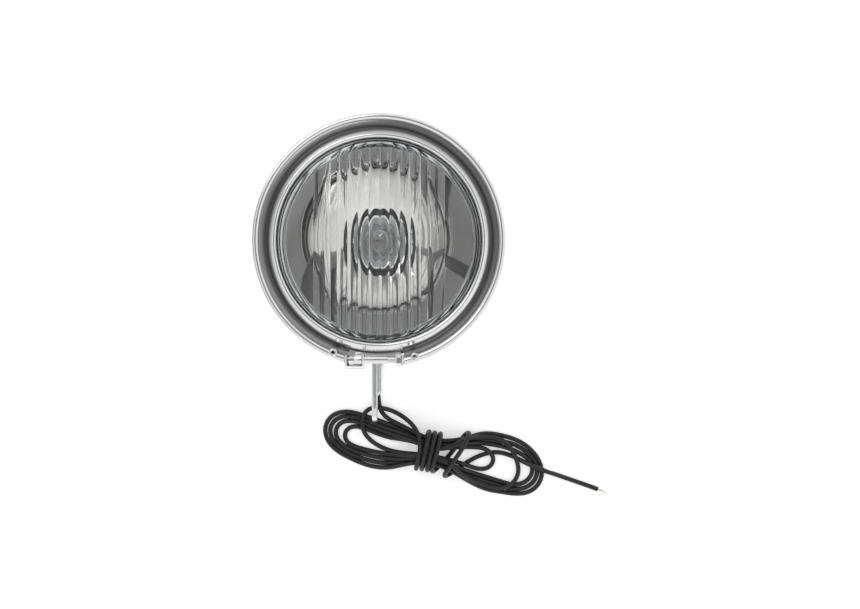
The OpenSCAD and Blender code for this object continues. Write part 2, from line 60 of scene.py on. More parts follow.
RIM_R = box_mm("rim")[1].x
RIM_TOP = box_mm("rim")[1].z
RIM_REAR = box_mm("rim")[0].z
LENS_R = box_mm("lens")[1].x
LENS_BOTTOM = box_mm("lens")[0].z
LENS_FRONT = box_mm("lens")[1].z
SCREW = (box_mm("clamp_screw")[0] + box_mm("clamp_screw")[1]) / 2
PIVOT = (box_mm("pivot_bolt")[0] + box_mm("pivot_bolt")[1]) / 2


# ---- camera
FRAME_WIDTH = 3.377 * 2 * RIM_R * MM                 # width of the view at the rim
CAMERA_HEIGHT = 1.0                                  # above the rim's front
VIEW_CENTRE = Vector((0.4045, -0.509)) * RIM_R * MM


def make_camera():
    data = bpy.data.cameras.new("camera")
    camera = bpy.data.objects.new("camera", data)
    bpy.context.scene.collection.objects.link(camera)
    data.sensor_width = 36
    data.lens = data.sensor_width * CAMERA_HEIGHT / FRAME_WIDTH
    data.clip_start, data.clip_end = 0.1, 30
    camera.location = (VIEW_CENTRE.x, VIEW_CENTRE.y, RIM_TOP * MM + CAMERA_HEIGHT)
    bpy.context.scene.camera = camera


# ---- material helpers
class Nodes:
    """Short ways to build a tree of shader nodes."""

    def __init__(self, owner):
        owner.use_nodes = True
        self.tree = owner.node_tree

    def node(self, kind, **settings):
        made = self.tree.nodes.new("ShaderNode" + kind)
        for key, value in settings.items():
            if hasattr(made, key):
                setattr(made, key, value)
            else:
                made.inputs[key.replace("_", " ")].default_value = value
        return made

    def link(self, source, target):
        self.tree.links.new(source, target)

    def ramp(self, fac, low, high, out_low, out_high, blend="LINEAR"):
        made = self.node("MapRange", interpolation_type=blend)
        for key, value in (("From Min", low), ("From Max", high), ("To Min", out_low), ("To Max", out_high)):
            made.inputs[key].default_value = value
        self.link(fac, made.inputs["Value"])
        return made.outputs["Result"]

    def maths(self, operation, *terms):
        """A calculation on sockets and numbers."""
        made = self.node("Math", operation=operation)
        for socket, term in zip(made.inputs, terms):
            if isinstance(term, (int, float)):
                socket.default_value = term
            else:
                self.link(term, socket)
        return made.outputs["Value"]

    def colours(self, fac, stops):
        made = self.node("ValToRGB")
        elements = made.color_ramp.elements
        while len(elements) < len(stops):
            elements.new(0.5)
        for element, (position, colour) in zip(elements, stops):
            element.position = position
            element.color = (*colour, 1)
        self.link(fac, made.inputs["Fac"])
        return made.outputs["Color"]

    def darkened(self, colour, share):
        made = self.node("Mix", data_type="RGBA", blend_type="MULTIPLY")
        made.inputs[0].default_value = 1.0
        self.link(colour, made.inputs[6])
        self.link(share, made.inputs[7])
        return made.outputs[2]


class Shader(Nodes):
    """A node material under construction, with one Principled shader."""

    def __init__(self, name, **inputs):
        self.material = bpy.data.materials.new(name)
        super().__init__(self.material)
        self.bsdf = self.tree.nodes["Principled BSDF"]
        for key, value in inputs.items():
            self.bsdf.inputs[key.replace("_", " ")].default_value = value

    def place(self, scale=(1, 1, 1)):
        """Object coordinates, stretched by scale."""
        coords = self.node("TexCoord")
        mapping = self.node("Mapping")
        mapping.inputs["Scale"].default_value = scale
        self.link(coords.outputs["Object"], mapping.inputs["Vector"])
        return mapping.outputs["Vector"]

    def noise(self, scale, detail, rough, stretch=(1, 1, 1)):
        made = self.node("TexNoise", Scale=scale, Detail=detail, Roughness=rough)
        self.link(self.place(stretch), made.inputs["Vector"])
        return made.outputs["Fac"]

    def radius(self):
        """Distance from the object's own Z axis."""
        split = self.node("SeparateXYZ")
        self.link(self.place(), split.inputs["Vector"])
        flat = self.node("CombineXYZ")
        for axis in "XY":
            self.link(split.outputs[axis], flat.inputs[axis])
        made = self.node("VectorMath", operation="LENGTH")
        self.link(flat.outputs["Vector"], made.inputs[0])
        return made.outputs["Value"]

    def bump(self, height, strength, distance):
        made = self.node("Bump", Strength=strength, Distance=distance)
        self.link(height, made.inputs["Height"])
        self.drive("Normal", made.outputs["Normal"])

    def drive(self, socket, source):
        self.link(source, self.bsdf.inputs[socket])


def chrome(name, tone, rough, smear, wave, crease=None):
    """Polished plating, slightly uneven; with a crease, painted shade darkening the colour at that radius,
    and a skirt outside painted darker.
    """
    s = Shader(name, Metallic=1.0, Roughness=rough)
    cloud = s.noise(90, 4, 0.6)
    s.drive("Roughness", s.ramp(cloud, 0.35, 0.7, rough, rough + smear))
    tint = s.colours(cloud, [(0.3, (tone, tone, tone * 1.005)), (0.75, (tone * 0.94,) * 3)])
    s.bump(s.noise(38, 1, 0.4), wave, 0.0004)
    if crease:
        # Painted shade: the colour is darkened in a band round the crease's radius, where shade falls in the
        # crease, and the skirt outside is darkened too.
        radius = s.radius()
        away = s.maths("ABSOLUTE", s.maths("SUBTRACT", radius, crease * MM))
        crease_shade = s.ramp(away, 0.4 * MM, 2.0 * MM, 0.42, 1.0, "SMOOTHSTEP")
        skirt = s.ramp(radius, (RIM_R - 0.6) * MM, (RIM_R - 0.1) * MM, 1.0, 0.7)
        tint = s.darkened(tint, s.maths("MULTIPLY", crease_shade, skirt))
    s.drive("Base Color", tint)
    return s.material


def plated(name, tone, rough, grain, streak=(1, 1, 1), tint=(0.985, 1.0, 1.01)):
    """Zinc or bare metal: a cloudy tone and a fine grain, stretched along the rolling direction."""
    s = Shader(name, Metallic=1.0, Roughness=rough)
    cloud = s.noise(160, 5, 0.65)
    fine = s.noise(grain, 2, 0.5, streak)
    low, high = tone * 0.94, min(1.0, tone * 1.04)
    stops = [(0.3, tuple(low * t for t in tint)), (0.7, tuple(high * t for t in tint))]
    s.drive("Base Color", s.colours(cloud, stops))
    s.drive("Roughness", s.ramp(fine, 0.3, 0.7, rough * 0.75, rough * 1.3))
    s.bump(fine, 0.04, 0.0001)
    return s.material


def rubber(name, tone, rough=0.55):
    """Moulded rubber or plastic with a fine matt skin and paler dusty patches."""
    s = Shader(name, Roughness=rough)
    cloud = s.noise(220, 4, 0.6)
    s.drive("Base Color", s.colours(cloud, [(0.3, (tone,) * 3), (0.8, (tone * 1.7,) * 3)]))
    s.drive("Roughness", s.ramp(cloud, 0.3, 0.7, rough * 0.9, rough * 1.15))
    s.bump(s.noise(1400, 2, 0.5), 0.15, 0.0001)
    return s.material


def insulation(name):
    """Extruded PVC: smooth black with a soft sheen, a faint grain and dust."""
    s = Shader(name, Roughness=0.48, IOR=1.45, Specular_IOR_Level=0.50)
    dust = s.noise(420, 4, 0.6)
    s.drive("Base Color", s.colours(dust, [(0.35, (0.012, 0.012, 0.012)), (0.85, (0.026, 0.026, 0.026))]))
    s.drive("Roughness", s.ramp(dust, 0.3, 0.75, 0.36, 0.5))
    s.bump(s.noise(700, 2, 0.5), 0.10, 0.0001)
    return s.material


def clear_glass(name, tint):
    """Clear glass with a slightly uneven tint."""
    s = Shader(name, Roughness=0.0, IOR=1.5, Transmission_Weight=1.0)
    cloud = s.noise(30, 2, 0.5)
    pale = tuple(min(1.0, t * 1.01) for t in tint)
    s.drive("Base Color", s.colours(cloud, [(0.3, tint), (0.7, pale)]))
    return s.material


def aluminised(name):
    """Vacuum-deposited aluminium over lacquer: a true mirror with a very slight ripple."""
    s = Shader(name, Metallic=1.0, Roughness=0.015)
    cloud = s.noise(26, 2, 0.5)
    s.drive("Base Color", s.colours(cloud, [(0.3, (0.86, 0.865, 0.87)), (0.7, (0.92, 0.925, 0.93))]))
    s.bump(cloud, 0.05, 0.0006)
    return s.material


def finishes():
    return {
        "chrome": chrome("chrome", 0.80, 0.10, 0.05, 0.02),
        # Chrome with painted shade in the rim's crease and a darker skirt.
        "creased_chrome": chrome("creased_chrome", 0.80, 0.10, 0.05, 0.02, RIM_R - 6.75),
        "bowl_chrome": chrome("bowl_chrome", 0.56, 0.09, 0.06, 0.03),
        "zinc": plated("zinc", 0.74, 0.30, 900, (1, 0.12, 1)),
        "steel": plated("steel", 0.55, 0.30, 1100),
        "spring_steel": plated("spring_steel", 0.42, 0.28, 1300, (1, 1, 0.2), (1.0, 0.99, 0.97)),
        "aluminised": aluminised("aluminised"),
        "lens_glass": clear_glass("lens_glass", (0.96, 0.975, 0.975)),
        "bulb_glass": clear_glass("bulb_glass", (0.91, 0.895, 0.88)),
        "tungsten": plated("tungsten", 0.30, 0.4, 2000),
        "black_rubber": rubber("black_rubber", 0.018),
        "grey_rubber": rubber("grey_rubber", 0.05),
        "seal_grey": rubber("seal_grey", 0.3),
        "wire_black": insulation("wire_black"),
        "socket_sleeve": rubber("socket_sleeve", 0.02, 0.4),
        "brass": plated("brass", 0.62, 0.28, 900, (1, 1, 0.2), (1.0, 0.80, 0.45)),
        "copper": plated("copper", 0.80, 0.34, 900, (1, 1, 1), (1.0, 0.92, 0.85)),
        "blackened": rubber("blackened", 0.03, 0.45),
    }


# ---- mesh helpers, in millimetres
def add_object(name, data, body, material, *replaced):
    made = bpy.data.objects.new(name, data)
    bpy.context.scene.collection.objects.link(made)
    data.materials.append(FINISH[material])
    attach(made, body)
    if replaced:
        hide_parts(*replaced)
    return made


def add_mesh(name, bm, sharp, body, material, *replaced):
    """Adds a mesh drawn in millimetres, smooth shaded, with its edges above the angle sharp kept hard."""
    bmesh.ops.scale(bm, vec=(MM, MM, MM), verts=bm.verts)
    bmesh.ops.recalc_face_normals(bm, faces=bm.faces)
    data = bpy.data.meshes.new(name)
    bm.to_mesh(data)
    bm.free()
    data.shade_smooth()
    data.set_sharp_from_angle(angle=math.radians(sharp))
    return add_object(name, data, body, material, *replaced)


def arc(centre, r, a, b, n):
    """Points of an arc about centre, from a to b degrees."""
    turns = [math.radians(a + (b - a) * k / n) for k in range(n + 1)]
    return [(centre[0] + r * math.cos(t), centre[1] + r * math.sin(t)) for t in turns]


def beside(path, d):
    """The flat path moved by d to its right, with mitred corners."""
    out = []
    points = [Vector(p) for p in path]
    for i, p in enumerate(points):
        before = (p - points[i - 1]).normalized() if i else None
        after = (points[i + 1] - p).normalized() if i < len(points) - 1 else None
        u = (before + after).normalized() if before and after else (before or after)
        stretch = 1 / u.dot(after) if before and after else 1
        out.append((p.x + d * stretch * u.y, p.y - d * stretch * u.x))
    return out


def shrunk(loop, d):
    """The closed anticlockwise loop moved inwards by d."""
    wrapped = beside([loop[-1]] + loop + [loop[0]], -d)
    return wrapped[1:-1]


def joined(bm, rings, capped=True):
    """Faces between neighbouring rings of vertices, and over the first and the last one."""
    for low, high in zip(rings, rings[1:]):
        for k in range(len(low)):
            j = (k + 1) % len(low)
            corners = list(dict.fromkeys((low[k], low[j], high[j], high[k])))
            if len(corners) > 2:
                bm.faces.new(corners)
    if capped:
        bm.faces.new(rings[0])
        bm.faces.new(rings[-1])
    return bm


def revolve(bm, profile, segments, closed=True, axis="z", centre=(0, 0)):
    """Turns a list of (r, along) about a line parallel to the axis; points on the line become poles."""
    def place(r, along, t):
        a, b = centre[0] + r * math.cos(t), centre[1] + r * math.sin(t)
        return (a, b, along) if axis == "z" else (along, a, b)

    rings = []
    for r, along in profile:
        if r < 1e-6:
            rings.append([bm.verts.new(place(0, along, 0))] * segments)
        else:
            rings.append([bm.verts.new(place(r, along, 2 * math.pi * k / segments)) for k in range(segments)])
    return joined(bm, rings + rings[:1] if closed else rings, False)


def turned(name, body, material, profile, replaced, segments=96, sharp=35, closed=True):
    """A turned piece from a half section."""
    bm = revolve(bmesh.new(), profile, segments, closed)
    return add_mesh(name, bm, sharp, body, material, *replaced)


def plate(bm, outer, holes, w1, w2, place, edge):
    """A plate between w1 and w2 from an anticlockwise outline and holes, with its edges rounded."""
    steps = [(edge * (1 - math.sin(a)), edge * (1 - math.cos(a))) for a in (0, math.pi / 4, math.pi / 2)]
    levels = [(inset, w1 + rise) for inset, rise in steps]
    levels += [(inset, w2 - rise) for inset, rise in reversed(steps)]
    ends = [[], []]
    for loop, sign in [(outer, 1)] + [(hole, -1) for hole in holes]:
        rings = [[bm.verts.new(place(u, v, w)) for u, v in shrunk(loop, sign * inset)] for inset, w in levels]
        joined(bm, rings, False)
        for end, ring in zip(ends, (rings[0], rings[-1])):
            end += [bm.edges.get((ring[k], ring[(k + 1) % len(ring)])) for k in range(len(ring))]
    for end in ends:
        bmesh.ops.triangle_fill(bm, use_beauty=True, edges=end)
    return bm


def circle(centre, r, n=48):
    return arc(centre, r, 0, 360, n)[:-1]


def along_x(u, v, w):
    """Places a plate's outline in the YZ plane, with its thickness along X."""
    return w, u, v


def smooth_path(points, step):
    """A Catmull-Rom curve through points, sampled about every step."""
    p = [Vector(q) for q in points]
    out = []
    for i in range(len(p) - 1):
        a, b, c, d = p[max(i - 1, 0)], p[i], p[i + 1], p[min(i + 2, len(p) - 1)]
        n = max(1, round((c - b).length / step))
        for k in range(n):
            t = k / n
            out.append(0.5 * ((2 * b) + (c - a) * t + (2 * a - 5 * b + 4 * c - d) * t * t
                              + (3 * b - a - 3 * c + d) * t ** 3))
    return out + [p[-1]]


def tube(bm, path, r, sides, closed=False):
    """A round rod of radius r along the path."""
    path = [Vector(p) for p in path]
    count = len(path)
    side = Vector((0.31, 0.12, 0.94))
    turns = [2 * math.pi * k / sides for k in range(sides)]
    rings = []
    for i, p in enumerate(path):
        after = path[(i + 1) % count] if closed or i < count - 1 else p
        before = path[i - 1] if closed or i else p
        t = (after - before).normalized()
        side = (side - side.dot(t) * t).normalized()
        w = t.cross(side)
        rings.append([bm.verts.new(p + r * (math.cos(a) * side + math.sin(a) * w)) for a in turns])
    return joined(bm, rings + rings[:1] if closed else rings, not closed)


def combined(bm_a, bm_b, operation):
    """The boolean of two closed meshes, as a new bmesh."""
    pieces = []
    for bm in (bm_a, bm_b):
        bmesh.ops.recalc_face_normals(bm, faces=bm.faces)
        data = bpy.data.meshes.new("work")
        bm.to_mesh(data)
        bm.free()
        piece = bpy.data.objects.new("work", data)
        bpy.context.scene.collection.objects.link(piece)
        pieces.append(piece)
    cut = pieces[0].modifiers.new("cut", "BOOLEAN")
    cut.operation, cut.object, cut.solver = operation, pieces[1], "EXACT"
    bpy.context.view_layer.update()
    evaluated = pieces[0].evaluated_get(bpy.context.evaluated_depsgraph_get())
    out = bmesh.new()
    out.from_mesh(evaluated.to_mesh())
    evaluated.to_mesh_clear()
    for piece in pieces:
        data = piece.data
        bpy.data.objects.remove(piece)
        bpy.data.meshes.remove(data)
    return out


def threaded(bm, x1, x2, r, pitch, depth, centre):
    """A right-hand threaded rod along X, chamfered at both ends."""
    around = 32
    count = round((x2 - x1) / pitch * 10)
    rings = []
    for i in range(count + 1):
        x = x1 + (x2 - x1) * i / count
        limit = r - depth + min(x - x1, x2 - x, depth) * 0.95
        ring = []
        for k in range(around):
            t = 2 * math.pi * k / around
            wave = abs(2 * ((x / pitch - k / around) % 1) - 1)
            here = min(limit, r - depth * min(1, max(0, 1.5 * wave - 0.25)))
            ring.append(bm.verts.new((x, centre[0] + here * math.cos(t), centre[1] + here * math.sin(t))))
        rings.append(ring)
    return joined(bm, rings)


def hexagon_head(x1, x2, r, chamfers):
    """A hexagon of corner radius r between x1 and x2, with its corners turned down at the given ends."""
    drop = 0.55
    profile = [(0, x1), (r - (1.0 if chamfers[0] else -1), x1), (r + (0.1 if chamfers[0] else 1), x1 + drop),
               (r + (0.1 if chamfers[1] else 1), x2 - drop), (r - (1.0 if chamfers[1] else -1), x2), (0, x2)]
    cone = revolve(bmesh.new(), profile, 64, False, "x", (PIVOT.y, PIVOT.z))
    body = plate(bmesh.new(), circle((PIVOT.y, PIVOT.z), r, 6), [], x1 - 0.01, x2 + 0.01, along_x, 0.05)
    return combined(body, cone, "INTERSECT")


# ---- the lead
WIRE_D = 2.5
EXIT = (0, -43.7, 10.8)
# From the grommet down to the surface and along under the strap to the hank
TAIL = [EXIT, (0, -47.6, 7.6), (0, -52, 4.2), (-0.5, -57, 1.9), (-1.3, -63, 1.3), (-2.2, -70, 1.3),
        (-2.6, -77, 1.3), (-2.2, -83.5, 1.3), (-0.8, -89.8, 1.3)]
# Out of the hank and along the surface to the bare tip
FREE_END = [(87.8, -122.2, 5), (93, -124, 3.4), (98.8, -126.1, 1.8), (104.8, -128.2, 1.3),
            (110.8, -130.3, 1.3), (116.6, -132.4, 1.3)]
# The hank's own axes: u along it and v across it, from the middle of its waist
WAIST = Vector((27.3, -111.7))
WAIST_TURN = math.radians(-10.3)
WAIST_END = 7.5
FLOOR_Z = WIRE_D / 2 + 0.03
# The strand from the lamp joins the waist, in the hank's axes
JOINING = [(-27.6, 12.9, 1.4), (-22.6, 11.6, 2.3), (-14.6, 9.7, 4.4)]
# One row a turn of the hank: the strand's place in the waist (across, up) on its way out and on its way back,
# then the right loop and the left loop as reach, height of the tip, upper bulge, lower bulge and level
TURNS = [
    ((7.4, 6.2), (-7.4, 6.2), (59.6, -0.8, 14.9, -14.4, 0), (59.2, 1.8, 12.3, -13.6, 0)),
    ((5.6, 3.9), (-5.6, 3.9), (57.0, -1.0, 12.3, -11.9, 0), (56.6, 1.6, 9.8, -11.1, 0)),
    ((4.8, 6.4), (-4.8, 6.4), (54.3, -1.6, 9.6, -9.3, 0), (53.9, 1.2, 7.2, -8.6, 0)),
    ((3.4, 8.8), (-3.4, 8.8), (47.0, -1.4, 13.8, -13.2, 2.5), (49.2, -0.6, 4.4, -6.0, 0)),
    ((2.9, 3.9), (-2.9, 3.9), (33.4, 0.8, 6.2, -3.6, 2.5), None),
]
# How full each side of a loop is at the shares of its reach below: from the waist's slot, then from the tip
SHARES = (0.30, 0.50, 0.70, 0.87, 0.97)
FULLNESS = {(1, 1): (0.59, 0.80, 0.96, 0.65, 0.25), (1, -1): (0.46, 0.84, 1.0, 0.92, 0.60),
            (-1, 1): (0.33, 0.63, 1.0, 0.93, 0.57), (-1, -1): (0.62, 1.0, 0.90, 0.61, 0.26)}
SETTLING = (0.72, 0.22, 0.03, 0, 0)
# The last turn's left loop lies over the others and comes back to the waist from above
TOP_LOOP = [(-12, -3.4, 3.4), (-18, -3.7, 2.2), (-25, -3.2, 1.9), (-31, -1.2, 2.7), (-36, 2.4, 3.8),
            (-39.4, 7, 4.0), (-40.6, 11.8, 4.0), (-38.2, 16.0, 3.8), (-33, 17.9, 3.9), (-27.2, 17.6, 3.9),
            (-21.8, 15.9, 4.4), (-16.6, 13.6, 5.8), (-11.9, 10.6, 8.2), (-8.6, 6.2, 10.5)]
# The wraps round the waist: radius of their sides, half their flat top, place, spacing, slant, run and step
WRAP_R = 5.4
WRAP_FLAT = 4.8
WRAP_START = -7.2
WRAP_PITCH = 3.1
WRAP_LEAN = 0.09
WRAP_LENGTH = 178
WRAP_STEP = 2.9
# How the hank settles: rounds, fall in each one outside the waist's reach, and the tightest bend aimed at
WAIST_REACH = 24
SETTLE_ROUNDS = 160
SETTLE_DROP = 0.02
TIGHTEST = 6.5
# One slanted turn beside the wraps, then under the bundle and through the right loops
SLANTED = [(7.4, -3.4, 1.3), (11.0, 2.6, 1.3), (14.2, 7.6, 1.6), (16.9, 11.6, 4.0), (17.8, 12.9, 7.6),
           (16.9, 10.6, 10.9), (14.9, 5.2, 12.3), (12.7, -0.6, 12.3), (10.7, -6.2, 11.4), (9.0, -10.4, 8.9),
           (8.8, -11.9, 5.4), (10.6, -10.4, 2.4), (14.2, -6.9, 1.3), (18.6, -3.4, 1.3), (23.2, 0.0, 1.3),
           (28.4, 3.2, 1.3), (33.6, 4.9, 1.3), (38.8, 5.0, 1.3), (43.6, 4.3, 1.4), (47.9, 3.5, 2.1),
           (52.0, 2.8, 3.4), (56.4, 1.9, 4.7)]


def on_waist(u, v, z):
    """A place in the hank's own axes, in the row frame."""
    c, s = math.cos(WAIST_TURN), math.sin(WAIST_TURN)
    return WAIST.x + u * c - v * s, WAIST.y + u * s + v * c, z


def half_loop(side, slot, bulge, loop):
    """Half a loop in the hank's axes, from the strand's place in the waist to just short of the tip."""
    reach, tip, level = loop[0], loop[1], FLOOR_Z + loop[4]
    out = []
    for share, full, lift in zip(SHARES, FULLNESS[side, 1 if bulge > tip else -1], SETTLING):
        foot = slot[0] if share < 0.6 else tip
        out.append((side * reach * share, foot + full * (bulge - foot), level + lift * (slot[1] - level)))
    return out


def whole_loop(side, start, end, loop):
    """One loop of the hank on the given side, from its strand's place in the waist back to the next place."""
    reach, tip, top, bottom, level = loop
    first, last = (top, bottom) if side > 0 else (bottom, top)
    return (half_loop(side, start, first, loop) + [(side * reach, tip, FLOOR_Z + level)]
            + half_loop(side, end, last, loop)[::-1])


def through_waist(side, slot):
    """The strand's two places where it passes the waist, on its way to the given side."""
    return [(side * u, *slot) for u in (-WAIST_END, WAIST_END)]


def wraps():
    """Turns of the lead round the waist, side by side, from the top of the first: flat above and below."""
    half = math.pi * WRAP_R
    one_turn = 4 * WRAP_FLAT + 2 * half
    out = []
    for k in range(round(WRAP_LENGTH / WRAP_STEP) + 1):
        gone = WRAP_STEP * k
        at = (gone + WRAP_FLAT) % one_turn
        side = -1 if at < one_turn / 2 else 1
        at %= one_turn / 2
        turn = max(0, at - 2 * WRAP_FLAT) / WRAP_R
        v = side * (min(at, 2 * WRAP_FLAT) - WRAP_FLAT + WRAP_R * math.sin(turn))
        z = FLOOR_Z + WRAP_R * (1 - side * math.cos(turn))
        out.append((WRAP_START + WRAP_PITCH * gone / one_turn + WRAP_LEAN * v, v, z))
    return out


def evenly(points):
    """Points one wire's width apart along the smooth line through the given ones."""
    dense = numpy.array([list(q) for q in smooth_path(points, WIRE_D / 4)])
    along = numpy.concatenate(([0], numpy.cumsum(numpy.sqrt((numpy.diff(dense, axis=0) ** 2).sum(axis=1)))))
    at = numpy.linspace(0, along[-1], round(along[-1] / WIRE_D) + 1)
    return numpy.stack([numpy.interp(at, along, dense[:, k]) for k in range(3)], axis=1)


def settled(knots):
    """The hank's line once its bends have eased and its turns lie on the surface and on each other."""
    tail, hank, end = evenly(TAIL), evenly(knots), evenly(FREE_END)
    p = numpy.concatenate((tail[:-1], hank, end[1:]))
    first, last = len(tail) - 1, len(p) - len(end)
    held = numpy.ones(len(p), bool)
    held[first + 2:last - 1] = False
    start = p.copy()
    number = numpy.arange(len(p))
    apart = abs(number[:, None] - number[None]) > 5
    loose = numpy.hypot(p[:, 0] - WAIST.x, p[:, 1] - WAIST.y) > WAIST_REACH
    limit = WIRE_D ** 2 / (2 * TIGHTEST)
    for _ in range(SETTLE_ROUNDS):
        for ease in (0.5, -0.53):
            p[1:-1] += ease * ((p[:-2] + p[2:]) / 2 - p[1:-1])
        bend = (p[:-2] + p[2:]) / 2 - p[1:-1]
        size = numpy.sqrt((bend ** 2).sum(axis=1)) + 1e-9
        excess = (0.4 * numpy.maximum(0, 1 - limit / size))[:, None] * bend
        p[1:-1] += excess
        p[:-2] -= excess / 2
        p[2:] -= excess / 2
        step = p[1:] - p[:-1]
        size = numpy.sqrt((step ** 2).sum(axis=1)) + 1e-9
        slack = (0.25 * (size - WIRE_D) / size)[:, None] * step
        p[:-1] += slack
        p[1:] -= slack
        p[loose, 2] -= SETTLE_DROP
        gap = p[:, None] - p[None]
        distance = numpy.sqrt((gap ** 2).sum(axis=2)) + 1e-9
        push = numpy.where(apart & (distance < WIRE_D), (WIRE_D - distance) / distance, 0)
        p += 0.3 * (push[:, :, None] * gap).sum(axis=1)
        p[:, 2] = numpy.maximum(p[:, 2], FLOOR_Z)
        p[held] = start[held]
    return [tuple(float(c) for c in q) for q in p[first:last + 1]]


def lead_route():
    """Every knot of the lead in order, in metres."""
    hank = list(JOINING)
    for number, (out_slot, back_slot, right, left) in enumerate(TURNS):
        hank += through_waist(1, out_slot) + whole_loop(1, out_slot, back_slot, right)
        hank += through_waist(-1, back_slot)
        hank += whole_loop(-1, back_slot, TURNS[number + 1][0], left) if left else TOP_LOOP
    hank += wraps() + SLANTED
    inside = settled([TAIL[-1]] + [on_waist(*p) for p in hank] + [FREE_END[0]])
    return [Vector(p) * MM for p in TAIL + inside[1:-1] + FREE_END]


def make_lead():
    data = bpy.data.curves.new("lead", "CURVE")
    data.dimensions = "3D"
    data.bevel_depth = WIRE_D / 2 * MM
    data.bevel_resolution = 6
    data.resolution_u = 8
    data.use_fill_caps = True
    knots = lead_route()
    spline = data.splines.new("BEZIER")
    spline.bezier_points.add(len(knots) - 1)
    for point, knot in zip(spline.bezier_points, knots):
        point.co = knot
        point.handle_left_type = point.handle_right_type = "AUTO"
    return add_object("lead", data, "housing", "wire_black", "wire_tail", "wire_hank", "wire_end")


# ---- bowl
BOWL_R = 59
BACK_R = 20
BOWL_T = 1
LIP_T = 1
EXIT_HOLE_R = 3.7
EXIT_Z = 15


def make_bowl():
    """The housing, spun from one sheet: half an ellipsoid, with a flat back and lip and the lead's hole."""
    lip_r, lip_top = box_mm("housing_bowl")[1].x, box_mm("housing_bowl")[1].z
    middle = lip_top + 0.8
    k = middle / math.sqrt(1 - (BACK_R / BOWL_R) ** 2)

    def curve(r, depth, z_from, z_to):
        """The ellipsoid's section between two heights, as (radius, height)."""
        a, b = math.acos((middle - z_from) / depth), math.acos((middle - z_to) / depth)
        turns = [a + (b - a) * i / 90 for i in range(91)]
        return [(r * math.sin(t), middle - depth * math.cos(t)) for t in turns]

    section = [(0, 0)] + curve(BOWL_R, k, 0, lip_top - LIP_T)
    section += [(lip_r - 0.15, lip_top - LIP_T), (lip_r, lip_top - LIP_T + 0.15), (lip_r, lip_top - 0.15),
                (lip_r - 0.15, lip_top)]
    section += curve(BOWL_R - BOWL_T, k - BOWL_T, BOWL_T, lip_top)[::-1] + [(0, BOWL_T)]
    bm = revolve(bmesh.new(), section, 320, False)
    drop = middle - EXIT_Z
    r = BOWL_R * math.sqrt(1 - (drop / k) ** 2)
    out = Vector((0, -r / BOWL_R ** 2, -drop / k ** 2)).normalized()
    exit_at = Vector((0, -r, EXIT_Z))
    drill = tube(bmesh.new(), [exit_at - 4 * out, exit_at + 4 * out], EXIT_HOLE_R, 48)
    shell = combined(bm, drill, "DIFFERENCE")
    add_mesh("bowl_shell", shell, 35, "housing", "bowl_chrome", "housing_bowl")


# ---- rim and clamp
RIM_T = 0.9
BEAD_R = 1.3
NOTCH = (-17.2, 12.7)
NOTCH_R = RIM_R - 6.5
RIVETS = [(-22.7, -56.3), (18.1, -58.4)]
TAB_T = 0.6
LEFT_TAB_END = -15.5
STIRRUP_R = 4.6
STIRRUP_END = -7.2
LUG_T = 1.2
LUG_REACH = -57.35
SHANK_HOLE_R = 2.12
SCREW_R = 2
SOCKET_R = 2
SHANK_END = 4.8


def rim_line():
    """Middle line of the rim's sheet, from the skirt's rear edge over the bead and the crease to the lens."""
    bead = (RIM_R - RIM_T / 2 - BEAD_R, RIM_TOP - RIM_T / 2 - BEAD_R)
    crease = (RIM_R - 6.45, RIM_TOP - 8.95)
    lens_bead = (RIM_R - 10.5, RIM_TOP - 8.4)
    return ([(RIM_R - RIM_T / 2, RIM_REAR + 0.3 * k) for k in range(2)] + arc(bead, BEAD_R, 0, 180, 40)
            + [crease] + arc((crease[0] - 4.4, crease[1] - 4.9), 6.2, 50, 76, 12)[:-1]
            + arc(lens_bead, 0.95, 66, 213, 32))


def sheet_loop(line, d1, d2):
    """Closed section of a sheet between d1 and d2 beside its line, with its cut edges rounded."""
    one, two = beside(line, d1), beside(line, d2)
    half = abs(d2 - d1) / 2
    start, end = Vector(line[0]) - Vector(line[1]), Vector(line[-1]) - Vector(line[-2])
    first = (Vector(one[0]) + Vector(two[0])) / 2 + start.normalized() * half * 0.6
    last = (Vector(one[-1]) + Vector(two[-1])) / 2 + end.normalized() * half * 0.6
    return [tuple(first)] + two + [tuple(last)] + one[::-1]


def make_rim():
    bm = revolve(bmesh.new(), sheet_loop(rim_line(), -RIM_T / 2, RIM_T / 2), 320)
    across = [NOTCH[0] + (NOTCH[1] - NOTCH[0]) * k / 12 for k in range(13)]
    inner = [(x, -math.sqrt(NOTCH_R ** 2 - x * x)) for x in across]
    outline = [(NOTCH[0], -80), (NOTCH[1], -80)] + inner[::-1]
    cutter = plate(bmesh.new(), outline, [], 40, 110, lambda u, v, w: (u, v, w), 0.01)
    for x, y in RIVETS:
        bore = [(0, RIM_TOP - 5), (1.55, RIM_TOP - 5), (1.55, RIM_TOP + 5), (0, RIM_TOP + 5)]
        revolve(cutter, bore, 32, False, centre=(x, y))
    shell = combined(bm, cutter, "DIFFERENCE")
    # The rim's chrome has painted shade in its crease.
    add_mesh("rim_shell", shell, 40, "optic", "creased_chrome", "rim")


def swept(bm, loop, place, a, b, steps):
    """A closed section carried from angle a to angle b, its two ends capped and slightly drawn in."""
    mid = sum((Vector(q) for q in loop), Vector((0, 0))) / len(loop)
    inset = abs(b - a) * 0.012
    stops = [(a, 0.72), (a + math.copysign(inset, b - a), 1)]
    stops += [(a + (b - a) * k / steps, 1) for k in range(1, steps)]
    stops += [(b - math.copysign(inset, b - a), 1), (b, 0.72)]
    rings = []
    for angle, size in stops:
        turn = math.radians(angle)
        rings.append([bm.verts.new(place(*(mid + (Vector(q) - mid) * size), turn)) for q in loop])
    return joined(bm, rings)


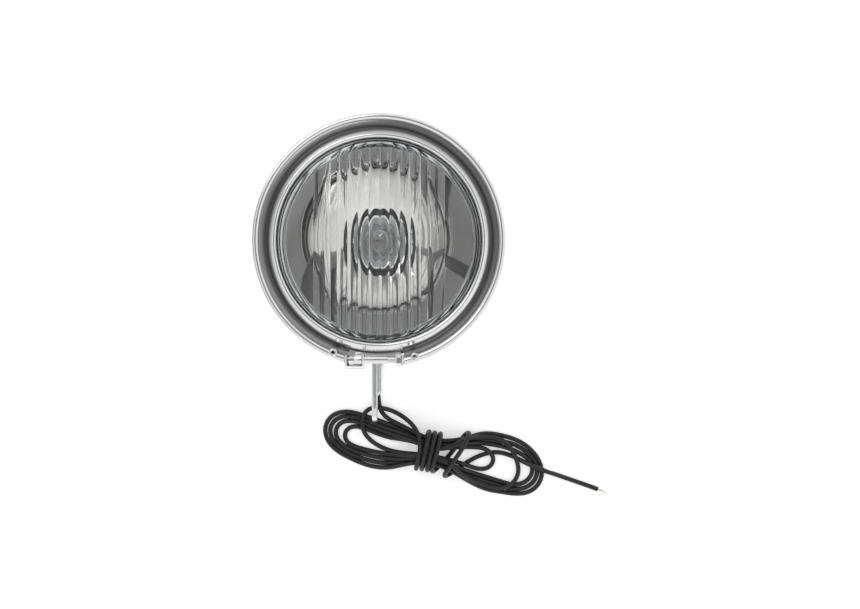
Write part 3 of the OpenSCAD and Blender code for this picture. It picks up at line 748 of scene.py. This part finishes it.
def tab_over_rim(bm, x1, x2):
    """A tab's strip between x1 and x2, pressed over the rim's bead, its crease and its shelf."""
    line = rim_line()[4:-24]
    section = sheet_loop(line, -RIM_T / 2 - TAB_T, -RIM_T / 2 - 0.02)
    turns = [math.degrees(math.atan2(-math.sqrt((RIM_R - 3) ** 2 - x * x), x)) for x in (x1, x2)]
    swept(bm, section, lambda r, z, t: (r * math.cos(t), r * math.sin(t), z), *turns, 24)


def make_tabs():
    """The clamp's tabs: the left one ends in a stirrup under the screw's head, the right one in a lug."""
    y, z = c = (SCREW.y, SCREW.z)
    x1, x2 = NOTCH[0] + 0.1, STIRRUP_END
    left = bmesh.new()
    tab_over_rim(left, box_mm("clamp_tab_left")[0].x, LEFT_TAB_END)
    inside, shoulder, r = STIRRUP_R - 0.85, STIRRUP_R - 0.4, STIRRUP_R
    crown = [(x1, inside), (x1, shoulder), (x1 + 0.25, r - 0.15), (x1 + 0.8, r), (x2 - 0.8, r),
             (x2 - 0.25, r - 0.15), (x2, shoulder), (x2, inside)]
    swept(left, crown, lambda x, r, t: (x, y + r * math.cos(t), z + r * math.sin(t)), 138, 292, 40)
    outline = arc(c, STIRRUP_R - 0.2, 100, 300, 40) + [(LUG_REACH, z - 3), (LUG_REACH, z + 4.4)]
    for start, hole in ((x1, 2.6), (x2 - LUG_T, SHANK_HOLE_R)):
        plate(left, outline, [circle(c, hole)], start, start + LUG_T, along_x, 0.5)
    add_mesh("stirrup_tab", left, 50, "optic", "chrome", "clamp_tab_left")
    low, high = box_mm("clamp_tab_right")
    right = bmesh.new()
    tab_over_rim(right, low.x + 0.1, high.x)
    outline = arc(c, 3.5, 170, 320, 30) + [(LUG_REACH, z), (LUG_REACH, z + 4.3), (y - 2.6, z + 4.3),
                                           (y - 3.3, z + 3.4)]
    lug_end = NOTCH[1] - 0.03
    plate(right, outline, [circle(c, SHANK_HOLE_R)], lug_end - LUG_T, lug_end, along_x, 0.5)
    add_mesh("lug_tab", right, 50, "optic", "chrome", "clamp_tab_right")


def make_nut():
    """Pressed square nut with its corners turned down."""
    low, high = box_mm("clamp_nut")
    cut = 1.7
    outline = [(low.y + cut, low.z), (high.y - cut, low.z), (high.y, low.z + cut), (high.y, high.z - cut),
               (high.y - cut, high.z), (low.y + cut, high.z), (low.y, high.z - cut), (low.y, low.z + cut)]
    bm = plate(bmesh.new(), outline, [circle((SCREW.y, SCREW.z), 2.05)], low.x, high.x, along_x, 0.3)
    add_mesh("square_nut", bm, 30, "optic", "chrome", "clamp_nut")


def make_rivets():
    """Tubular rivets with a rolled head and a dark bore."""
    bm = bmesh.new()
    top = RIM_TOP + TAB_T
    for x, y in RIVETS:
        revolve(bm, [(1.5, top - 4.4), (1.5, top + 0.02)] + arc((1.5, top + 0.02), 0.62, 0, 180, 12)[:-1]
                + [(0.88, top - 0.3), (0.88, top - 4.4)], 40, centre=(x, y))
    add_mesh("eyelets", bm, 50, "optic", "chrome", "tab_rivets")


def make_screw():
    """Clamp screw: a round head with a hexagon socket, a plain shank and a thread under the nut."""
    low, high = box_mm("clamp_screw")
    centre = (SCREW.y, SCREW.z)
    head_r, head_end = (high.y - low.y) / 2, low.x + 4
    profile = [(0, low.x), (head_r - 0.5, low.x), (head_r - 0.15, low.x + 0.15), (head_r, low.x + 0.5),
               (head_r, head_end - 0.2), (head_r - 0.2, head_end), (SCREW_R, head_end),
               (SCREW_R, SHANK_END - 0.3), (SCREW_R - 0.3, SHANK_END), (0, SHANK_END)]
    socket = arc(centre, SOCKET_R, 30, 390, 6)[:-1]
    bm = combined(revolve(bmesh.new(), profile, 64, False, "x", centre),
                  plate(bmesh.new(), socket, [], low.x - 1, low.x + 2.2, along_x, 0.02), "DIFFERENCE")
    threaded(bm, SHANK_END - 0.1, high.x, SCREW_R, 0.7, 0.35, centre)
    add_mesh("clamp_bolt", bm, 30, "clamp_screw", "chrome", "clamp_screw")


# ---- lens
FLUTE_PITCH = 5.3
FLUTE_R = 7.4
FLUTES = 8
CUSP_ROUND = 0.22
RIB_R = 25
RIB_HALF_W = 4.3
RIB_X = 28.7
LENS_EDGE = 3.4
LENS_CLEAR_R = 48.5


def lens_relief(x):
    """Depth of the pressed pattern above the lens's inner plane at x."""
    if abs(x) < FLUTE_PITCH * FLUTES / 2:
        from_cusp = min(x % FLUTE_PITCH, -x % FLUTE_PITCH)
        half = FLUTE_PITCH / 2
        local = half - math.sqrt(from_cusp ** 2 + CUSP_ROUND ** 2)
        return math.sqrt(FLUTE_R ** 2 - local ** 2) - math.sqrt(FLUTE_R ** 2 - half ** 2)
    if abs(abs(x) - RIB_X) < RIB_HALF_W:
        return RIB_R - math.sqrt(RIB_R ** 2 - (abs(x) - RIB_X) ** 2)
    return 0


def lens_columns():
    """Places across the lens where its inner face needs an edge."""
    steps = (0, 0.07, 0.15, 0.25, 0.4, 0.6, 0.9, 1.3, 1.75, 2.2, FLUTE_PITCH / 2)
    out = []
    for k in range(FLUTES // 2):
        out += [k * FLUTE_PITCH + d for d in steps] + [(k + 1) * FLUTE_PITCH - d for d in steps[-2:0:-1]]
    edge = FLUTES * FLUTE_PITCH / 2
    out += [edge - 0.001, edge + 0.05, edge + 1.5, RIB_X - RIB_HALF_W - 0.05]
    out += [RIB_X + RIB_HALF_W * 0.999 * math.sin(math.radians(a)) for a in range(-90, 91, 12)]
    out += [RIB_X + RIB_HALF_W + 0.05]
    turn = math.degrees(math.acos(out[-1] / LENS_CLEAR_R))
    out += [LENS_CLEAR_R * math.cos(math.radians(turn * (1 - k / 20))) for k in range(1, 21)]
    return sorted(set(-x for x in out) | set(out))


def make_lens():
    """Pressed glass: a gently domed front, and behind it flutes and ribs that end in small steps."""
    bm = bmesh.new()
    inner_z = LENS_BOTTOM + 0.6
    columns = lens_columns()
    rows = 12
    grid = []
    for x in columns:
        reach = math.sqrt(max(0, LENS_CLEAR_R ** 2 - x * x))
        z = inner_z + lens_relief(x)
        if reach < 1e-3:
            grid.append([bm.verts.new((x, 0, z))] * (rows + 1))
        else:
            grid.append([bm.verts.new((x, reach * (2 * j / rows - 1), z)) for j in range(rows + 1)])
    for a, b in zip(grid, grid[1:]):
        for j in range(rows):
            corners = list(dict.fromkeys((a[j], b[j], b[j + 1], a[j + 1])))
            if len(corners) > 2:
                bm.faces.new(corners)
    edge = [line[0] for line in grid] + [line[-1] for line in grid[-2:0:-1]]
    turns = [math.atan2(v.co.y, v.co.x) for v in edge]
    edge_z = LENS_BOTTOM + LENS_EDGE
    rise = LENS_FRONT - edge_z
    dome_r = (LENS_R ** 2 + rise ** 2) / (2 * rise)
    profile = [(LENS_CLEAR_R, inner_z), (LENS_CLEAR_R + 1.2, inner_z), (LENS_CLEAR_R + 1.8, LENS_BOTTOM),
               (LENS_R - 0.25, LENS_BOTTOM), (LENS_R, LENS_BOTTOM + 0.25), (LENS_R, edge_z - 0.2)]
    profile += [(r, edge_z + math.sqrt(dome_r ** 2 - r * r) - dome_r + rise) for r in
                ((LENS_R - 0.3) * (1 - k / 40) for k in range(40))]
    last = edge
    for r, z in profile:
        ring = [bm.verts.new((r * math.cos(t), r * math.sin(t), z)) for t in turns]
        for k in range(len(ring)):
            j = (k + 1) % len(ring)
            bm.faces.new((last[k], last[j], ring[j], ring[k]))
        last = ring
    pole = bm.verts.new((0, 0, LENS_FRONT))
    for k in range(len(last)):
        bm.faces.new((last[k], last[(k + 1) % len(last)], pole))
    add_mesh("lens_pressed", bm, 28, "optic", "lens_glass", "lens")


def make_lens_gasket():
    low, high = box_mm("lens_gasket")
    inner, outer = LENS_R - 1.35, high.x
    mid = (low.z + high.z) / 2
    section = [(inner + 0.15, low.z), (outer - 0.15, low.z), (outer, low.z + 0.2), (outer - 0.1, mid),
               (outer, high.z - 0.2), (outer - 0.15, high.z), (inner + 0.15, high.z), (inner, mid)]
    turned("lens_seal", "optic", "seal_grey", section, ["lens_gasket"], 160)


# ---- reflector and bulb
REFLECTOR_T = 0.8
APEX = 44
FOCAL = 21.5
HOLE_R = 15.4
MOUTH_R = 50.2
SEAT_R = 53.9
FLANGE_R = 61.2
SEAT_Z = LENS_BOTTOM - 1.2
FLANGE_TOP = RIM_TOP - 10.7
BULB_GLASS_R = 5.75
NECK_TOP = APEX + 7.2
FOCUS_Z = APEX + FOCAL


def make_reflector():
    """A paraboloid from the bulb's hole to a short cone, then the lens's seat and the flange."""
    start, end = HOLE_R + 0.4, MOUTH_R - 2.7
    across = [start + (end - start) * k / 90 for k in range(91)]
    line = [(r, APEX + r ** 2 / (4 * FOCAL)) for r in across]
    seat = SEAT_Z - REFLECTOR_T / 2
    flange = FLANGE_TOP - REFLECTOR_T / 2
    line += [(MOUTH_R + 0.5, line[-1][1] + 1.7), (MOUTH_R + 0.8, seat), (SEAT_R, seat),
             (SEAT_R + 0.4, flange), (FLANGE_R, flange)]
    turned("reflector_bowl", "optic", "aluminised", sheet_loop(line, -REFLECTOR_T / 2, REFLECTOR_T / 2),
           ["reflector"], 256, sharp=25)


def make_bulb_holder():
    """Blackened collar round the bulb's hole, and inside it a plain seat with a turned edge."""
    z = APEX
    collar = [(13.55, z + 1.4), (13.55, z + 5.7), (13.8, z + 6), (14.9, z + 6), (15.2, z + 5.7),
              (15.2, z + 1.9), (16.4, z + 1.9), (16.4, z - 0.3), (19.7, z - 0.3), (20, z - 0.6),
              (20, z - 1.8), (11.2, z - 1.8), (11.2, z + 0.05), (9.3, z + 0.05), (9.3, z + 0.6),
              (12, z + 0.6), (12, z + 1.4)]
    turned("holder_collar", "optic", "blackened", collar, ["bulb_holder"], 128)
    seat = [(9.2, z + 0.7), (9.2, z + 1.2), (9.5, z + 1.5), (12.3, z + 1.5), (12.4, z + 4.3),
            (13.45, z + 4.8), (13.5, z + 1.4), (12, z + 0.7)]
    turned("holder_seat", "optic", "aluminised", seat, [], 128)


def make_bulb():
    low = box_mm("bulb_base")[0]
    back = APEX - 2
    cap = [(0, low.z), (2.2, low.z), (2.4, low.z + 0.5), (5.6, low.z + 0.5), (5.8, low.z), (6.6, low.z),
           (7, low.z + 0.4), (7, back), (10.7, back), (10.9, back + 0.2), (10.9, APEX - 0.2), (10.7, APEX),
           (6.6, APEX), (6.2, APEX + 0.4), (5.9, NECK_TOP - 1), (5.4, NECK_TOP), (0, NECK_TOP)]
    turned("bulb_cap", "optic", "steel", cap, ["bulb_base"], closed=False)
    wall = 0.8
    dome = FOCUS_Z + 6.5 - BULB_GLASS_R
    outside = [(BULB_GLASS_R - 0.5, NECK_TOP + 0.05), (BULB_GLASS_R - 0.1, NECK_TOP + 1)]
    outside += arc((0, dome), BULB_GLASS_R, 0, 90, 20)[:-1] + [(0, dome + BULB_GLASS_R)]
    inside = [(0, dome + BULB_GLASS_R - wall)] + arc((0, dome), BULB_GLASS_R - wall, 90, 0, 20)[1:]
    inside += [(BULB_GLASS_R - wall - 0.2, NECK_TOP + 0.4), (BULB_GLASS_R - wall - 0.2, NECK_TOP + 0.05)]
    turned("bulb_envelope", "optic", "bulb_glass", outside + inside, ["bulb_glass"])


def make_filament():
    """A coiled filament between two supports, with a stay beside them."""
    bm = bmesh.new()
    half, coil_r, coil_turns, points = 2.6, 0.62, 9, 12
    coil = []
    for k in range(coil_turns * points + 1):
        t = 2 * math.pi * k / points
        x = -half + 2 * half * k / (coil_turns * points)
        coil.append((x, coil_r * math.cos(t), FOCUS_Z + coil_r * math.sin(t)))
    tube(bm, coil, 0.13, 8)
    for s in (-1, 1):
        support = [(s * 2.8, 0, NECK_TOP - 1), (s * 2.85, 0, FOCUS_Z - 6), (s * 2.7, 0, FOCUS_Z - 1),
                   (s * 2.6, 0.2, FOCUS_Z + 0.5)]
        tube(bm, smooth_path(support, 0.8), 0.3, 10)
    stay = [(-1.2, 0.9, NECK_TOP - 1), (-1.2, 0.9, FOCUS_Z - 5.5), (1.6, 0.9, FOCUS_Z - 5)]
    tube(bm, smooth_path(stay, 0.8), 0.22, 8)
    add_mesh("filament_coil", bm, 60, "optic", "tungsten", "bulb_filament")


def make_bulb_clip():
    """Wire bail, bent from one piece, drawn as a closed loop with rounded corners."""
    low, high = box_mm("bulb_clip")
    z = (low.z + high.z) / 2
    x, y, bend = high.x - 0.75, high.y - 0.75, 2.2
    corners = [(sx * (x - bend), sy * (y - bend), sx, sy) for sx, sy in ((1, 1), (-1, 1), (-1, -1), (1, -1))]
    path = []
    for number, (cx, cy, sx, sy) in enumerate(corners):
        path += [(px, py, z) for px, py in arc((cx, cy), bend, 90 * number, 90 * number + 90, 10)]
    bm = tube(bmesh.new(), path, 0.75, 16, closed=True)
    add_mesh("wire_bail", bm, 60, "bulb_clip", "spring_steel", "bulb_clip")


# ---- strap and pivot
STRAP_T = 2.6
STRAP_HOLE_R = 4.2
PIVOT_R = 3


def make_strap():
    low, high = box_mm("mounting_strap")
    eye_r = (high.z - low.z) / 2
    eye_y = low.y + eye_r
    pivot_y, z = PIVOT.y, PIVOT.z
    length = pivot_y - eye_y
    pivot_r = 6.2
    taper = math.degrees(math.asin((eye_r - pivot_r) / length))
    outline = arc((eye_y, z), eye_r, 90 - taper, 270 + taper, 48)
    outline += arc((pivot_y, z), pivot_r, -90 + taper, 90 - taper, 36)
    holes = [circle((pivot_y, z), PIVOT_R + 0.06), circle((eye_y, z), STRAP_HOLE_R)]
    bm = plate(bmesh.new(), outline, holes, low.x, low.x + STRAP_T, along_x, 0.35)
    # Stiffening lip along the rear edge, its free end cut on the slant
    slope = math.radians(taper)
    rows = 24
    start, end = 3.0, length - 3.0
    x2, lip = high.x, 2.0
    along = Vector((0, -math.cos(slope), -math.sin(slope)))
    inward = Vector((0, -math.sin(slope), math.cos(slope)))
    base = Vector((0, pivot_y, z)) - inward * (pivot_r - 0.03)
    rings = []
    for k in range(rows + 1):
        f = k / rows
        reach = 1 - max(0, f - 0.86) / 0.14 * 0.75
        x_out = low.x + 0.4 + (x2 - low.x - 0.4) * reach * min(1, 0.5 + f * 6)
        p = base + along * (start + (end - start) * f)
        section = [(low.x + 0.4, 0.05), (x_out - 0.4, 0.0), (x_out - 0.1, 0.1), (x_out, 0.45),
                   (x_out, lip - 0.45), (x_out - 0.1, lip - 0.1), (x_out - 0.4, lip),
                   (low.x + 0.4, lip - 0.05)]
        rings.append([bm.verts.new(p + inward * h + Vector((x, 0, 0))) for x, h in section])
    add_mesh("strap_blade", joined(bm, rings), 40, "strap", "zinc", "mounting_strap")


def make_pivot_bolt():
    low, high = box_mm("pivot_bolt")
    head_end = low.x + 4
    bm = hexagon_head(low.x, head_end, (high.y - low.y) / 2, (True, False))
    nut_low = box_mm("pivot_nut")[0]
    shank = [(0, head_end - 0.1), (PIVOT_R, head_end - 0.1), (PIVOT_R, nut_low.x - 1.5),
             (PIVOT_R - 0.5, nut_low.x - 1), (0, nut_low.x - 1)]
    revolve(bm, shank, 48, False, "x", (PIVOT.y, PIVOT.z))
    threaded(bm, nut_low.x - 1.1, high.x, PIVOT_R, 1.0, 0.5, (PIVOT.y, PIVOT.z))
    add_mesh("tilt_bolt", bm, 30, "housing", "zinc", "pivot_bolt")


def make_pivot_nut():
    low, high = box_mm("pivot_nut")
    body = hexagon_head(low.x, high.x, (high.y - low.y) / 2, (True, True))
    section = [(0, low.x - 1), (PIVOT_R + 0.6, low.x - 1), (PIVOT_R + 0.05, low.x + 0.6),
               (PIVOT_R + 0.05, high.x - 0.6), (PIVOT_R + 0.6, high.x + 1), (0, high.x + 1)]
    bore = revolve(bmesh.new(), section, 48, False, "x", (PIVOT.y, PIVOT.z))
    nut = combined(body, bore, "DIFFERENCE")
    add_mesh("tilt_nut", nut, 30, "housing", "zinc", "pivot_nut")


def make_washers():
    low, high = box_mm("pivot_washers")
    bm = bmesh.new()
    r = (high.y - low.y) / 2
    centre = (PIVOT.y, PIVOT.z)
    for x in (low.x, high.x - 1.2):
        plate(bm, circle(centre, r, 64), [circle(centre, PIVOT_R + 0.2)], x, x + 1.2, along_x, 0.2)
    add_mesh("flat_washers", bm, 40, "housing", "zinc", "pivot_washers")


# ---- leads inside the lamp, and the bare tip
INNER_ROUTE = [(0, -43.7, 10.8), (0, -40.3, 13.6), (0, -36.4, 16.9), (1.5, -32.5, 18.4), (5, -28.5, 15.6),
               (9, -24, 10.5), (13, -18.5, 6.2), (17.5, -13, 4.8), (21, -8.5, 5.6), (22, -6, 9), (22, -6, 12)]
BULB_ROUTE = [(0, 3, 38.5), (0, 5, 34.5), (1, 10, 30.5), (4, 16, 27.5), (8.5, 20.5, 26), (14, 20.5, 25.5),
              (19, 15.5, 25.8), (21.5, 9, 27.2), (22, 2.5, 28.7), (22, -3, 29)]
TIP_ROUTE = [(116.6, -132.4, 1.3), (118.9, -133.3, 1.2), (121.3, -134.5, 1)]


def make_inner_leads():
    for name, route, r, body, node in (("supply_lead", INNER_ROUTE, 1.25, "housing", "inner_lead"),
                                       ("lamp_lead", BULB_ROUTE, 1.0, "optic", "bulb_lead")):
        add_mesh(name, tube(bmesh.new(), smooth_path(route, 1.2), r, 14), 60, body, "wire_black", node)


def make_strands():
    """Bare copper strands, twisted to a point and cut unevenly: one in the middle, then two rings."""
    rng = random.Random(4)
    places = [(0, 1)] + 4 * [(0.3, 4)] + 7 * [(0.56, 7)]
    bm = bmesh.new()
    line = smooth_path([(115.6, -132.0, 1.3)] + TIP_ROUTE, 0.4)
    axis = (line[-1] - line[0]).normalized()
    side = axis.cross(Vector((0, 0, 1))).normalized()
    up = side.cross(axis)
    for number, (ring_r, in_ring) in enumerate(places):
        turn = 2 * math.pi * number / in_ring
        if number:
            rng.random()    # one draw is passed over, which keeps the ends' pattern
        closing, cut = rng.uniform(0.45, 0.75), rng.choice((0, 2, 4, 6))
        path = []
        for k, p in enumerate(line[:len(line) - cut]):
            f = k / (len(line) - 1)
            r = ring_r * (1 - closing * f)
            a = turn + 2.4 * f
            path.append(p + side * r * math.cos(a) + up * max(-0.8, r * math.sin(a)))
        tube(bm, path, 0.15, 8)
    return add_mesh("copper_strands", bm, 60, "housing", "copper", "wire_strands")


# ---- floor and light
def make_floor():
    bm = bmesh.new()
    bmesh.ops.create_grid(bm, x_segments=1, y_segments=1, size=4)
    data = bpy.data.meshes.new("floor")
    bm.to_mesh(data)
    bm.free()
    floor = bpy.data.objects.new("floor", data)
    bpy.context.scene.collection.objects.link(floor)
    s = Shader("floor", Roughness=0.9, Base_Color=(0.93, 0.93, 0.93, 1), Emission_Color=(1, 1, 1, 1),
               Emission_Strength=0.42)
    data.materials.append(s.material)


# Brightness of the studio by the cosine of the angle from its darkest place, a grey ceiling
CEILING = Vector((0.10, 0.13, 1.0)).normalized()
SKY = [(0.0, 0.86), (0.45, 0.96), (0.78, 1.04), (0.88, 0.84), (0.955, 0.32), (0.985, 0.29), (1.0, 0.29)]
# Shapes standing round the studio: direction, how far each reaches, and how dark its middle is
SHAPES = [(Vector((-0.90, 0.10, 0.30)), 0.05, 0.35), (Vector((-0.86, -0.42, 0.22)), 0.04, 0.45)]
SHAPE_RIPPLE = 0.16
KEY_LIGHT = (-0.45, 0.75, 1.5)


def make_world():
    world = bpy.data.worlds.new("studio")
    bpy.context.scene.world = world
    s = Nodes(world)
    around = s.node("TexCoord").outputs["Generated"]

    def towards(direction):
        made = s.node("VectorMath", operation="DOT_PRODUCT")
        made.inputs[1].default_value = direction.normalized()
        s.link(around, made.inputs[0])
        return made.outputs["Value"]

    colour = s.colours(towards(CEILING), [(position, (tone,) * 3) for position, tone in SKY])
    ripple = s.node("TexNoise", Scale=7)
    s.link(around, ripple.inputs["Vector"])
    for direction, reach, dark in SHAPES:
        wobble = s.maths("MULTIPLY_ADD", ripple.outputs["Fac"], SHAPE_RIPPLE, towards(direction))
        share = s.ramp(wobble, 1.06 - reach, 1.10 - reach, 1.0, dark, "SMOOTHSTEP")
        colour = s.darkened(colour, share)
    s.link(colour, s.tree.nodes["Background"].inputs["Color"])


def make_key_light():
    data = bpy.data.lights.new("key", "AREA")
    data.shape, data.size = "DISK", 0.8
    data.energy = 3
    key = bpy.data.objects.new("key", data)
    bpy.context.scene.collection.objects.link(key)
    key.location = KEY_LIGHT
    key.rotation_euler = (-Vector(KEY_LIGHT)).to_track_quat("-Z", "Y").to_euler()


# ---- main
FINISH = finishes()
make_camera()
for entry in frame["record"]["subparts"]:
    for material_slot in NODES[entry["node"]].material_slots:
        material_slot.material = FINISH[entry["material_slot"]]

lead = make_lead()
strands = make_strands()

make_bowl()
make_rim()
make_tabs()
make_nut()
make_rivets()
make_screw()
make_lens()
make_lens_gasket()
make_reflector()
make_bulb_holder()
make_bulb()
make_filament()
make_bulb_clip()
make_strap()
make_pivot_bolt()
make_pivot_nut()
make_washers()
make_inner_leads()
make_floor()
make_world()
make_key_light()
bpy.context.scene.view_settings.view_transform = "Standard"
